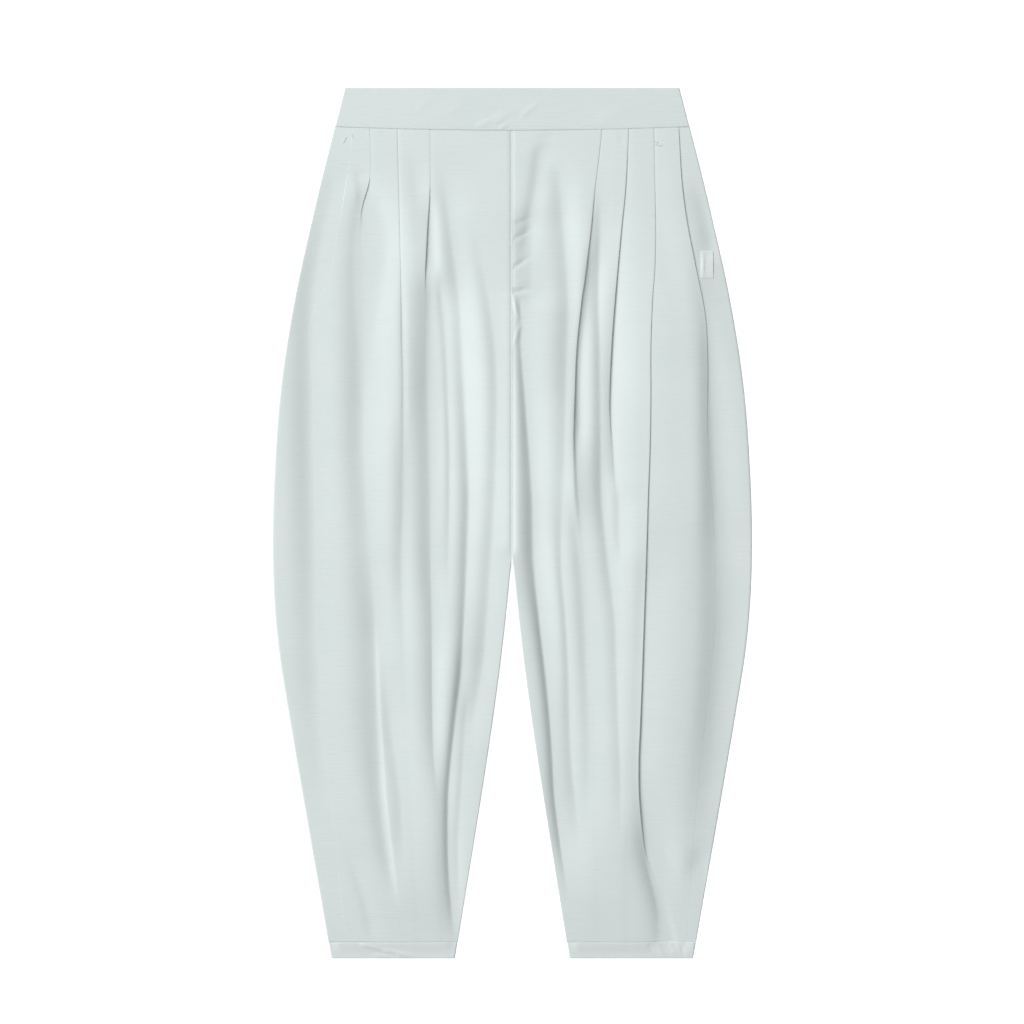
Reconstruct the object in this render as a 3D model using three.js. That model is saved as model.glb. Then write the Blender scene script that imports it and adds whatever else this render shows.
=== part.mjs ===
// Harem trousers laid flat with the front side up: barrel legs with a low crotch, three knife pleats
// on each side of the front, side pockets, a straight waistband and narrow turned-up hems. The back
// panels wrap round to the front, so the side seams and the pocket mouths lie inside the outline.
// Millimetres. +X is to the right as seen from above, +Y points to the waist and +Z is up.
// The origin lies on the surface that carries the trousers, under the middle of their outline.
// Each leg is worked out in its own terms: "out" is the distance from the centre line towards the side
// seam, and "down" is the distance from the waistband's top edge towards the hem.

import * as THREE from 'three';

// Driving dimensions
const length = 957; // waistband's top edge to hem
const waistbandDepth = 43; // at the side seams
const waistSeamDip = 4; // how far the waist seam sags at the centre line
const hemDepth = 18;
const wall = 1; // one ply of cloth
const bandWall = 2.2; // waistband: two plies with interfacing and turnings
const hemWall = 1.6; // hem: two plies
const gap = 0.3; // between pieces at a seam
const crotchDown = 515;
const seamLap = 9; // how far the back panel reaches under the front panel's outer edge
const pocketEnd = 262; // lower end of the pocket mouths
const label = { out: 214, down: 195, width: 14, height: 30 };

// Levels at which a fold's place is stated: distance down from the waistband's top edge
const levels = { waist: 47, seat: 280, crotch: 515, knee: 720, hem: 939 };

// Half width of the laid-out garment, where the back panel folds round to the front
const outline = [
  { down: 0, out: 184 },
  { down: 43, out: 195 },
  { down: 123, out: 215 },
  { down: 230, out: 238.7 },
  { down: 330, out: 254.4 },
  { down: 430, out: 261.8 },
  { down: 520, out: 263.4 },
  { down: 600, out: 258.7 },
  { down: 680, out: 247 },
  { down: 957, out: 199 },
];

// Inside leg seam, from the crotch to the hem
const insideSeam = [
  { down: 515, out: 0.15 },
  { down: 600, out: 8.8 },
  { down: 680, out: 19 },
  { down: 780, out: 34 },
  { down: 957, out: 62.7 },
];

// How high the front stands above its seams, from the air and cloth under it
const fullness = [
  { down: 47, rise: 0 },
  { down: 150, rise: 2.6 },
  { down: 300, rise: 5.6 },
  { down: 515, rise: 7.2 },
  { down: 720, rise: 5.8 },
  { down: 880, rise: 3.2 },
  { down: 957, rise: 0.6 },
];
const sideRoll = 13; // distance over which the front rises from the outline or the inside leg seam

// Knife pleats, from the centre line outwards. Each row gives where its folded edge lies at the five
// levels, which way that edge faces (1 to the side seam, -1 to the centre line), the overlap of its
// plies at the waist, where the overlap runs out, and how far the upper ply stands off at the seat.
const leftPleats = [
  { waist: 92, seat: 98, crotch: 98, knee: 88.5, hem: 80, faces: 1, overlap: 14, opens: 300, lift: 4.6 },
  { waist: 126, seat: 121.5, crotch: 125, knee: 120.5, hem: 108, faces: 1, overlap: 13, opens: 330, lift: 3 },
  { waist: 154.5, seat: 158, crotch: 157, knee: 148, hem: 131, faces: 1, overlap: 14, opens: 420, lift: 4 },
];
const rightPleats = [
  { waist: 98.5, seat: 71.5, crotch: 73, knee: 84, hem: 88, faces: 1, overlap: 14, opens: 470, lift: 4.8 },
  { waist: 128, seat: 111, crotch: 125, knee: 124, hem: 120, faces: -1, overlap: 10, opens: 450, lift: 3.6 },
  { waist: 155.5, seat: 154, crotch: 148.5, knee: 142, hem: 160, faces: 1, overlap: 14, opens: 800, lift: 3.2 },
];
const pleats = { left: leftPleats, right: rightPleats };

// Largest soft folds. A negative depth is a trough and a positive one a ridge. "inner" and "outer" are
// its half widths towards the centre line and the side seam; it fades in after "from" and out by "to".
const leftSoftFolds = [
  { waist: 82, seat: 56.5, crotch: 54.5, knee: 69, hem: 66, depth: -3.2, inner: 9, outer: 8, from: 120, to: 900 },
  { waist: 49, seat: 21.5, crotch: 27, knee: 54, hem: 60, depth: -1.8, inner: 8, outer: 8, from: 180, to: 720 },
  { waist: 70, seat: 39, crotch: 40, knee: 61, hem: 66, depth: 2.6, inner: 9, outer: 9, from: 160, to: 760 },
  { waist: 180, seat: 176, crotch: 172, knee: 166, hem: 141, depth: -3.6, inner: 9, outer: 16, from: 130, to: 860 },
  { waist: 236, seat: 236, crotch: 240, knee: 232, hem: 200, depth: 2.4, inner: 9, outer: 12, from: 280, to: 700 },
];
const rightSoftFolds = [
  { waist: 0, seat: 6, crotch: 20, knee: 42, hem: 66, depth: -4, inner: 9, outer: 9, from: 270, to: 900 },
  { waist: 37, seat: 50, crotch: 50, knee: 60, hem: 72, depth: -2.2, inner: 9, outer: 10, from: 70, to: 820 },
  { waist: 20, seat: 28, crotch: 34, knee: 52, hem: 66, depth: 2.4, inner: 8, outer: 9, from: 160, to: 760 },
  { waist: 90, seat: 90, crotch: 101, knee: 112, hem: 112, depth: -2.2, inner: 7, outer: 8, from: 190, to: 780 },
  { waist: 183, seat: 214, crotch: 224, knee: 206, hem: 198, depth: -3.4, inner: 16, outer: 9, from: 290, to: 880 },
];
const softFolds = { left: leftSoftFolds, right: rightSoftFolds };

// Outer edge of each front panel: the pocket mouth down to pocketEnd, and the side seam below it
const leftSeam = [
  { down: 43, out: 174.5 },
  { down: 105, out: 182 },
  { down: 162, out: 192 },
  { down: 208, out: 201 },
  { down: 262, out: 222 },
  { down: 330, out: 219 },
  { down: 515, out: 216 },
  { down: 607, out: 214 },
  { down: 695, out: 209 },
  { down: 939, out: 182 },
];
const rightSeam = [
  { down: 43, out: 183 },
  { down: 105, out: 186.5 },
  { down: 151, out: 192.5 },
  { down: 190, out: 200 },
  { down: 262, out: 213 },
  { down: 390, out: 215 },
  { down: 505, out: 223 },
  { down: 615, out: 221 },
  { down: 760, out: 205 },
  { down: 939, out: 191 },
];
const seams = { left: leftSeam, right: rightSeam };
const mouthGape = { left: 0.6, right: 2.2 }; // how far the pocket mouths stand open

// Columns of a front panel's section between its pleats, counted from the centre line outwards
const columnsBetween = [6, 3, 3, 5];
const rowStep = 44; // longest distance between two rows

const cloth = new THREE.MeshStandardMaterial({ color: 0xd3dcda, roughness: 0.55, metalness: 0 });
const labelCloth = new THREE.MeshStandardMaterial({ color: 0xe4e9e7, roughness: 0.5, metalness: 0 });

const clamp01 = (t) => Math.min(1, Math.max(0, t));
const mix = (a, b, t) => a + (b - a) * t;
const ease = (a, b, t) => {
  const s = clamp01((t - a) / (b - a));
  return s * s * (3 - 2 * s);
};

// Reads a table's column at a distance down, on a smooth curve through its rows.
function readTable(rows, column, down) {
  const last = rows.length - 1;
  if (down <= rows[0].down) return rows[0][column];
  if (down >= rows[last].down) return rows[last][column];
  const i = rows.findIndex((row) => row.down > down) - 1;
  const slope = (a, b) => (rows[b][column] - rows[a][column]) / (rows[b].down - rows[a].down);
  const width = rows[i + 1].down - rows[i].down;
  const t = (down - rows[i].down) / width;
  const start = slope(Math.max(0, i - 1), i + 1) * width;
  const end = slope(i, Math.min(last, i + 2)) * width;
  const t2 = t * t;
  const t3 = t2 * t;
  return (
    (2 * t3 - 3 * t2 + 1) * rows[i][column] +
    (t3 - 2 * t2 + t) * start +
    (3 * t2 - 2 * t3) * rows[i + 1][column] +
    (t3 - t2) * end
  );
}

// Where a pleat or soft fold lies at a distance down.
function placeOf(fold, down) {
  const rows = Object.entries(levels).map(([name, at]) => ({ down: at, out: fold[name] }));
  return readTable(rows, 'out', down);
}

const outlineAt = (down) => readTable(outline, 'out', down);
const insideAt = (down) => (down <= crotchDown ? gap / 2 : readTable(insideSeam, 'out', down));
const seamAt = (side, down) => readTable(seams[side], 'out', down);

// Height of the middle of the lowest ply above the back: it fills out, and carries the soft folds.
function groundAt(side, out, down) {
  const fromSide = Math.max(0, outlineAt(down) - out);
  const fromInside = down > crotchDown ? Math.max(0, out - insideAt(down)) : Infinity;
  const nearest = Math.min(fromSide, fromInside + 40 * ease(crotchDown + 60, crotchDown, down));
  let height = readTable(fullness, 'rise', down) * (1 - Math.exp(-nearest / sideRoll));
  for (const fold of softFolds[side]) {
    const away = out - placeOf(fold, down);
    const spread = away < 0 ? fold.inner : fold.outer;
    const fade = ease(fold.from, fold.from + 80, down) * ease(fold.to, fold.to - 90, down);
    height += fold.depth * fade * Math.exp(-((away / spread) ** 2));
  }
  const lowest = wall + gap + wall / 2;
  return lowest + Math.max(0, height) * (1 - Math.exp(-fromSide / 5));
}

// Overlap of a pleat's plies, which turns negative where the pleat has opened into a slope.
const openSlope = 9;
function overlapAt(pleat, down) {
  const folded = 1 - clamp01((down - levels.waist) / (pleat.opens - levels.waist));
  const opened = ease(pleat.opens, pleat.opens + 120, down);
  return pleat.overlap * folded - openSlope * opened;
}

// Height of a pleat's upper ply above its lowest one.
const plyStep = wall + gap;
function standOff(pleat, down) {
  const lifted = mix(2 * plyStep, pleat.lift + 2 * plyStep, ease(levels.waist + 60, levels.seat, down));
  return mix(lifted, 0.4, ease(pleat.opens + 40, Math.max(pleat.opens + 260, levels.hem - 40), down));
}

// How far the cloth that runs over a pleat, or over the back's edge, stands above the lowest ply.
const pleatRise = 16;
const lapRise = 8;
const lapStep = plyStep + 0.2;
function stackAt(side, upperPlyOf, out, down) {
  let height = 0;
  for (const pleat of upperPlyOf) {
    const behind = (placeOf(pleat, down) - out) * pleat.faces;
    const reach = Math.max(0, overlapAt(pleat, down));
    height = Math.max(height, standOff(pleat, down) * ease(reach + pleatRise, reach, behind));
  }
  const lapShare = ease(seamLap + lapRise, seamLap, seamAt(side, down) - out);
  const gape = mouthGape[side] * Math.sin(Math.PI * clamp01((down - waistbandDepth) / (pocketEnd - waistbandDepth)));
  return Math.max(height, (lapStep + gape) * lapShare);
}

// The six points of a pleat's fold in a section, from the ply nearer the centre line to the other.
// Folded, the cloth turns back on itself twice; open, it is a plain slope between two heights.
function pleatPoints(side, pleat, down) {
  const edge = placeOf(pleat, down);
  const overlap = overlapAt(pleat, down);
  const high = standOff(pleat, down);
  const turn = plyStep / 2;
  const folded = clamp01(overlap / (2 * turn));
  const back = Math.max(overlap, 2 * turn * folded);
  const middle = Math.max(high / 2, 0);
  const foldedPoints = [
    [-turn, high],
    [0, high - turn],
    [-turn, Math.max(middle, high - 2 * turn)],
    [-back + turn, Math.min(middle, 2 * turn)],
    [-back, turn],
    [-back + turn, 0],
  ];
  const spread = Math.max(0, -overlap);
  const points = foldedPoints.map(([x, z], i) => {
    const share = i / (foldedPoints.length - 1);
    return [mix(spread * share, x, folded), mix(high * (1 - share), z, folded)];
  });
  const placed = points.map(([x, z]) => {
    const out = edge + pleat.faces * x;
    return { out, z: groundAt(side, out, down) + z };
  });
  return pleat.faces > 0 ? placed : placed.reverse();
}

// A front panel's section at one distance down: the middle line of its cloth, from inside to outside.
function frontSection(side, down) {
  const folds = pleats[side].map((pleat) => pleatPoints(side, pleat, down));
  const points = [];
  columnsBetween.forEach((count, i) => {
    const first = i === 0;
    const last = i === folds.length;
    const start = first ? insideAt(down) : folds[i - 1].at(-1).out;
    const end = last ? seamAt(side, down) - seamLap : folds[i][0].out;
    const outs = Array.from({ length: count }, (_, k) => mix(start, end, k / count)).slice(first ? 0 : 1);
    if (last) outs.push(end, end + seamLap / 2, end + seamLap);
    const neighbours = [[i - 1, -1], [i, 1]].map(([k, faces]) => ({ pleat: pleats[side][k], faces }));
    const upperPlyOf = neighbours.filter(({ pleat, faces }) => pleat?.faces === faces).map((n) => n.pleat);
    for (const out of outs) {
      points.push({ out, z: groundAt(side, out, down) + stackAt(side, upperPlyOf, out, down) });
    }
    if (!last) points.push(...folds[i]);
  });
  return points;
}

// The part of a back panel's section that shows from the front: from under the front's edge outwards.
const wrapColumns = 4;
function wrapSection(side, down) {
  const seam = seamAt(side, down);
  const outs = [seam - seamLap, seam - seamLap / 2];
  const end = outlineAt(down) - turnRadius;
  for (let k = 0; k <= wrapColumns; k++) outs.push(mix(seam, end, k / wrapColumns));
  return outs.map((out) => ({ out, z: groundAt(side, out, down) }));
}

// A back panel's section: flat under the whole leg, round the outline, and back over the front.
const flatColumns = 5;
const turnRadius = 1.5;
const turnSteps = 4;
function backSection(side, down) {
  const middle = wall / 2;
  const wrap = wrapSection(side, down).reverse();
  const turnHeight = (wrap[0].z - middle) / 2;
  const turn = Array.from({ length: turnSteps - 1 }, (_, k) => {
    const angle = (Math.PI * (k + 1)) / turnSteps;
    const out = wrap[0].out + turnRadius * Math.sin(angle);
    return { out, z: middle + turnHeight * (1 - Math.cos(angle)) };
  });
  const flat = Array.from({ length: flatColumns + 1 }, (_, k) => {
    return { out: mix(insideAt(down), wrap[0].out, k / flatColumns), z: middle };
  });
  return [...flat, ...turn, ...wrap];
}

// The label lies on the back's own faces, moved out by a ply and the gap.
function labelSection(side, down) {
  const under = wrapSection(side, down);
  return [-1, 0, 1].map((k) => {
    const out = label.out + (k * label.width) / 2;
    const i = under.findIndex((point) => point.out > out) - 1;
    const share = (out - under[i].out) / (under[i + 1].out - under[i].out);
    return { out, z: mix(under[i].z, under[i + 1].z, share) + plyStep };
  });
}

// How far a point of the waist seam lies below the seam's ends.
const dipAt = (out) => waistSeamDip * (1 - (out / outlineAt(waistbandDepth)) ** 2);
const dipFades = 90; // distance below the seam over which the rows turn straight

// Distances down for the rows between stated stations, none further apart than rowStep.
function rowsThrough(stations) {
  const rows = [stations[0]];
  for (let i = 1; i < stations.length; i++) {
    const span = stations[i] - stations[i - 1];
    const count = Math.ceil(span / rowStep);
    for (let k = 1; k <= count; k++) rows.push(stations[i - 1] + (span * k) / count);
  }
  return rows;
}

// A closed wall of one ply on a middle line that is given at each row.
function clothWall(side, downs, sectionAt) {
  const sign = side === 'left' ? -1 : 1;
  const seam = waistbandDepth + gap;
  const faces = { upper: [], lower: [] };
  for (const down of downs) {
    const line = sectionAt(down);
    line.forEach((point, j) => {
      const before = line[Math.max(0, j - 1)];
      const after = line[Math.min(line.length - 1, j + 1)];
      const run = Math.hypot(after.out - before.out, after.z - before.z);
      const normal = { out: -(after.z - before.z) / run, z: (after.out - before.out) / run };
      const sag = dipAt(point.out) * ease(seam + dipFades, seam, down);
      const y = length / 2 - down - sag;
      for (const [face, half] of [['upper', wall / 2], ['lower', -wall / 2]]) {
        const x = sign * (point.out + normal.out * half);
        faces[face].push(x, y, point.z + normal.z * half);
      }
    });
  }
  const rows = downs.length;
  const columns = faces.upper.length / 3 / rows;
  const lowerStart = rows * columns;
  const at = (face, i, j) => (face === 'lower' ? lowerStart : 0) + i * columns + j;
  const triangles = [];
  const quad = (a, b, c, d) => {
    const corners = sign > 0 ? [a, b, c, a, c, d] : [a, c, b, a, d, c];
    triangles.push(...corners);
  };
  for (let i = 0; i < rows - 1; i++) {
    for (let j = 0; j < columns - 1; j++) {
      quad(at('upper', i, j), at('upper', i + 1, j), at('upper', i + 1, j + 1), at('upper', i, j + 1));
      quad(at('lower', i, j), at('lower', i, j + 1), at('lower', i + 1, j + 1), at('lower', i + 1, j));
    }
    const end = columns - 1;
    quad(at('upper', i, 0), at('lower', i, 0), at('lower', i + 1, 0), at('upper', i + 1, 0));
    quad(at('upper', i, end), at('upper', i + 1, end), at('lower', i + 1, end), at('lower', i, end));
  }
  for (let j = 0; j < columns - 1; j++) {
    const end = rows - 1;
    quad(at('upper', 0, j), at('upper', 0, j + 1), at('lower', 0, j + 1), at('lower', 0, j));
    quad(at('upper', end, j), at('lower', end, j), at('lower', end, j + 1), at('upper', end, j + 1));
  }
  const geometry = new THREE.BufferGeometry();
  geometry.setAttribute('position', new THREE.Float32BufferAttribute([...faces.upper, ...faces.lower], 3));
  geometry.setIndex(triangles);
  geometry.computeVertexNormals();
  return geometry;
}

// A flat ply with corners at [out, down].
function flatPly(sign, corners, thickness) {
  const shape = new THREE.Shape(corners.map(([out, down]) => new THREE.Vector2(sign * out, length / 2 - down)));
  return new THREE.ExtrudeGeometry(shape, { depth: thickness, bevelEnabled: false });
}

const legTop = waistbandDepth + gap;
const legEnd = length - hemDepth - gap;
const pleatTips = 98;
const labelTop = label.down - label.height / 2;
const labelEnd = label.down + label.height / 2;
const legRows = rowsThrough([legTop, pleatTips, labelTop, labelEnd, pocketEnd, crotchDown, legEnd]);

function frontPanel(side) {
  return clothWall(side, legRows, (down) => frontSection(side, down));
}

function backPanel(side) {
  return clothWall(side, legRows, (down) => backSection(side, down));
}

function sideLabel() {
  return clothWall('right', [labelTop, labelEnd], (down) => labelSection('right', down));
}

// Half of the waistband: a straight top edge, and a lower edge that dips at the centre line.
const bandSteps = 14;
function waistband() {
  const corners = [];
  const half = outlineAt(waistbandDepth);
  corners.push([-outlineAt(0), 0], [outlineAt(0), 0]);
  for (let k = 0; k <= bandSteps; k++) {
    const out = mix(half, -half, k / bandSteps);
    corners.push([out, waistbandDepth + dipAt(out)]);
  }
  return flatPly(1, corners, bandWall);
}

// Half of a turned-up hem: a straight band between the two leg seams.
function hem(side) {
  const sign = side === 'left' ? -1 : 1;
  const top = length - hemDepth;
  const outline = [
    [insideAt(top), top],
    [outlineAt(top), top],
    [outlineAt(length), length],
    [insideAt(length), length],
  ];
  return flatPly(sign, outline, hemWall);
}

function piece(name, geometry, height = 0, material = cloth) {
  const mesh = new THREE.Mesh(geometry, material);
  mesh.name = name;
  mesh.position.z = height;
  return mesh;
}

const trousers = new THREE.Group();
for (const side of ['left', 'right']) {
  trousers.add(piece(`front_${side}`, frontPanel(side)));
  trousers.add(piece(`back_${side}`, backPanel(side)));
  trousers.add(piece(`hem_front_${side}`, hem(side), hemWall + gap));
  trousers.add(piece(`hem_back_${side}`, hem(side)));
}
trousers.add(piece('waistband_front', waistband(), bandWall + gap));
trousers.add(piece('waistband_back', waistband()));
trousers.add(piece('side_label', sideLabel(), 0, labelCloth));

export default trousers;
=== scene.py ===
import math

import bpy
import numpy as np
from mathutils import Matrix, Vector


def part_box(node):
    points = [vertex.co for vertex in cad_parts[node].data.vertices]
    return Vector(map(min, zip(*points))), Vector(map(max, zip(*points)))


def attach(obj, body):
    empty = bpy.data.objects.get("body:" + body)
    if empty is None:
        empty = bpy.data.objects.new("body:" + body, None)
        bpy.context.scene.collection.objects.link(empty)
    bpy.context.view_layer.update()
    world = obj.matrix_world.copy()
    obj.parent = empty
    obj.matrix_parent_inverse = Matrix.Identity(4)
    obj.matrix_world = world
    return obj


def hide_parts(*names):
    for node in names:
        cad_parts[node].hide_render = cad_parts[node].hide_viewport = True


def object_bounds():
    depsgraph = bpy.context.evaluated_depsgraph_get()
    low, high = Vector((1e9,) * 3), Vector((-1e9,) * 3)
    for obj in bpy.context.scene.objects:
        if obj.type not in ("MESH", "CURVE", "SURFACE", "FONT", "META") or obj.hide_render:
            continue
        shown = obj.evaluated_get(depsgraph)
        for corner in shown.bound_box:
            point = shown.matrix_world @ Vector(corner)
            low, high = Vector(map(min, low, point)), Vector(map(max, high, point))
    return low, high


# Harem trousers laid flat on a pale floor, front side up. Sizes are in millimetres until a mesh is made.
# "out" is the distance from the centre line towards the side seam, "down" the distance from the waist's edge.
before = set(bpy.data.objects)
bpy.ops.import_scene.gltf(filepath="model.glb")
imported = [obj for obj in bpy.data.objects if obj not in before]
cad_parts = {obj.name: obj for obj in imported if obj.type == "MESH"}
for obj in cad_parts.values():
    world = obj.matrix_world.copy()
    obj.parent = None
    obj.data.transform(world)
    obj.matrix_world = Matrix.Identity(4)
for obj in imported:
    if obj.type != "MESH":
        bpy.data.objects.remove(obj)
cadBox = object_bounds()
mm = 0.001
length = (cadBox[1].y - cadBox[0].y) / mm
sides = {"left": -1, "right": 1}  # sign of X

# The sewn shape, the same for every piece
cut = {
    "waistbandDepth": 43,
    "waistSeamDip": 4,  # the waist seam sags this far at the centre
    "dipFades": 90,
    "hemDepth": (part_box("hem_front_left")[1].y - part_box("hem_front_left")[0].y) / mm,
    "crotch": 515,
    "seamGap": 0.3,
    "seamLap": 9,  # the back reaches this far under the front's outer edge
    "pocketEnd": 262,
    "clothThickness": 0.5,
}
outline = [(0, 184), (43, 195), (123, 215), (230, 238.7), (330, 254.4), (430, 261.8), (520, 263.4),
           (600, 258.7), (680, 247), (957, 199)]
insideSeam = [(515, 0.15), (600, 8.8), (680, 19), (780, 34), (957, 62.7)]
frontEdge = {
    "left": [(43, 174.5), (105, 182), (162, 192), (208, 201), (262, 222), (330, 219), (515, 216),
             (607, 214), (695, 209), (939, 182)],
    "right": [(43, 183), (105, 186.5), (151, 192.5), (190, 200), (262, 213), (390, 215), (505, 223),
              (615, 221), (760, 205), (939, 191)],
}

# How the front's cloth stands on the back. Where a side seam or an inside leg lets it rise, a share of the
# rise is steep and the rest comes slowly over the roll.
frontLook = {
    "columns": [52, 26, 26, 50],  # between the pleats, from the centre line outwards
    "rowSteps": [(43, 4), (138, 2.2), (292, 4.6), (925, 2.2)],  # distance between rows from there on
    "seamPlaces": [0, 0.0014, 0.005, 0.01, 0.015, 0.0195, 0.0245, 0.03],  # columns close to the centre seam
    "edgePlace": 0.9975,  # the last column but one
    "fullness": [(43, 1.0), (90, 2.2), (150, 4.4), (230, 6.2), (300, 7.2), (515, 7.8), (720, 7), (880, 4.8),
                 (930, 2.7), (957, 0.9)],
    "lowest": 1.5,  # height of the cloth where it lies pressed on the back
    "softBelow": 0.9,  # troughs that reach below this height flatten out
    "steepSide": {"left": 0.7, "right": 0.65},
    "sideRoll": 90,
    "steepInside": {"left": 0.62, "right": 0.74},
    "insideRoll": 30,
    "edgeTurn": {"side": 0.2, "inside": 0.15},  # radius of the steep part
    "seamGroove": {"left": (0.5, 0, 2.5), "right": (0.24, 1.3, 1.3)},  # depth, place and width
    "seamPull": {"left": 14, "right": 4.5},  # the centre seam draws the fronts level over this distance
    "lapStep": {"left": 0.02, "right": 0.35},  # how far the front stands off the back's strip along its edge
    "mouthGape": {"left": 0, "right": 0.35},  # and how much further at the pocket mouth
    "lapRise": 26,  # the edge lifts over this distance
    "underEdge": 0.3,  # the strip lies this much lower where it runs under the front
    "stripRoll": 25,
    "flushStart": 2,
    "flushReach": 30,  # beside a pleat that is pressed flush the cloth comes down over this distance
    "seamEdge": {"left": (250, 286), "right": (290, 430)},  # below the mouth the strip comes up to the edge
    "pressedTurn": 0.3,  # radius of a pressed fold
}


# a smooth line through (down, value) points, level past its ends
def along(points, down):
    at, value = np.array(points, float).T
    down = np.clip(down, at[0], at[-1])
    slope = np.empty_like(value)
    slope[1:-1] = (value[2:] - value[:-2]) / (at[2:] - at[:-2])
    slope[0] = (value[1] - value[0]) / (at[1] - at[0])
    slope[-1] = (value[-1] - value[-2]) / (at[-1] - at[-2])
    i = np.clip(np.searchsorted(at, down, side="right") - 1, 0, len(at) - 2)
    width = at[i + 1] - at[i]
    t = (down - at[i]) / width
    start, end = value[i], value[i + 1]
    return ((2 * t ** 3 - 3 * t ** 2 + 1) * start + (t ** 3 - 2 * t ** 2 + t) * width * slope[i]
            + (3 * t ** 2 - 2 * t ** 3) * end + (t ** 3 - t ** 2) * width * slope[i + 1])


def ease(start, end, value):
    t = np.clip((value - start) / (end - start), 0, 1)
    return t * t * (3 - 2 * t)


def numberAt(value, down):
    return along(value, down) if isinstance(value, list) else value


def fadeBetween(fade, down):
    return ease(fade[0], fade[1], down) * ease(fade[3], fade[2], down)


def outlineAt(down):
    return along(outline, down)


def insideAt(down):
    return np.where(down <= cut["crotch"], cut["seamGap"] / 2, along(insideSeam, down))


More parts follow.
